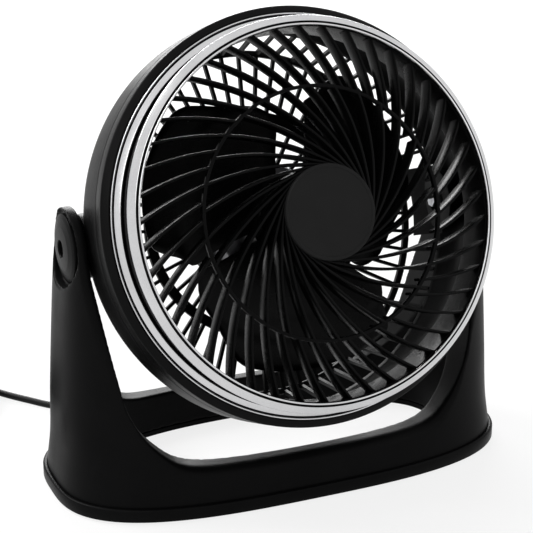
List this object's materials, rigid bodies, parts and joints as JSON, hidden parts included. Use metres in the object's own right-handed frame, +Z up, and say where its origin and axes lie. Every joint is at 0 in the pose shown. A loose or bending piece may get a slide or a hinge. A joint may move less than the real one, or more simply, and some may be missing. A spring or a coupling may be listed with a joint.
{
  "type": "air circulator fan",
  "caption": "Round air circulator fan on a low U-shaped stand: a drum head with a spiral finger guard and two bright trim rings that tilts between the uprights.",
  "frame": {"origin": "on the floor under the middle of the fan's bounding box, without the mains lead", "axes": "+X to the right as seen from the front, -Y to the front where the air leaves, +Z up"},
  "size_m": [0.3494, 0.2788, 0.2792],
  "materials": {
    "stand_plastic": "fine moulded grain",
    "black_plastic": "satin moulded black",
    "chrome": "bright plated trim",
    "badge_plastic": "satin charcoal, bare",
    "steel": "zinc plated",
    "plug_pins": "nickel plated",
    "winding": "laminated core with enamelled windings",
    "rubber": "soft black",
    "cable": "smooth black sheath"
  },
  "bodies": {
    "stand": {"stand_shell": "stand_plastic", "base_plate": "stand_plastic", "pivot_cap_left": "stand_plastic", "pivot_cap_right": "stand_plastic", "base_screw_1": "steel", "base_screw_2": "steel", "base_screw_3": "steel", "base_screw_4": "steel", "pivot_screw_left": "steel", "pivot_screw_right": "steel", "pivot_nut_left": "steel", "pivot_nut_right": "steel", "plug_pin_left": "plug_pins", "plug_pin_right": "plug_pins", "rubber_foot_1": "rubber", "rubber_foot_2": "rubber", "rubber_foot_3": "rubber", "rubber_foot_4": "rubber", "friction_washer_left": "rubber", "friction_washer_right": "rubber", "cord_gland": "cable", "cord_lead": "cable", "cord_coil": "cable", "cord_tail": "cable", "plug_body": "cable"},
    "head": {"housing_shell": "black_plastic", "front_bezel": "black_plastic", "rear_trim_ring": "chrome", "front_trim_ring": "chrome", "front_grille": "black_plastic", "hub_badge": "badge_plastic", "rear_grille": "black_plastic", "motor_shell": "steel", "motor_end_cap": "steel", "motor_stator": "winding", "bearing_rear": "steel", "bearing_front": "steel", "motor_screw_1": "steel", "motor_screw_2": "steel", "motor_screw_3": "steel", "switch_body": "black_plastic", "rear_cover": "black_plastic", "cover_screw_1": "steel", "cover_screw_2": "steel", "cover_screw_3": "steel"},
    "fan_rotor": {"motor_shaft": "steel", "motor_rotor": "steel", "impeller": "black_plastic", "impeller_nut": "black_plastic"},
    "knob": {"speed_knob": "black_plastic"}
  },
  "joints": [
    {"name": "head_tilt", "type": "hinge", "parent": "stand", "child": "head", "pos_m": [0, 0.0161, 0.1512], "axis": [-1, 0, 0], "range_deg": [-20, 70]},
    {"name": "impeller_spin", "type": "hinge", "parent": "head", "child": "fan_rotor", "pos_m": [0, 0.0161, 0.1512], "axis": [0, -0.9397, 0.342], "continuous": true},
    {"name": "speed_knob_turn", "type": "hinge", "parent": "head", "child": "knob", "pos_m": [0, 0.0161, 0.1512], "axis": [0, -0.9397, 0.342], "range_deg": [0, 135]}
  ]
}
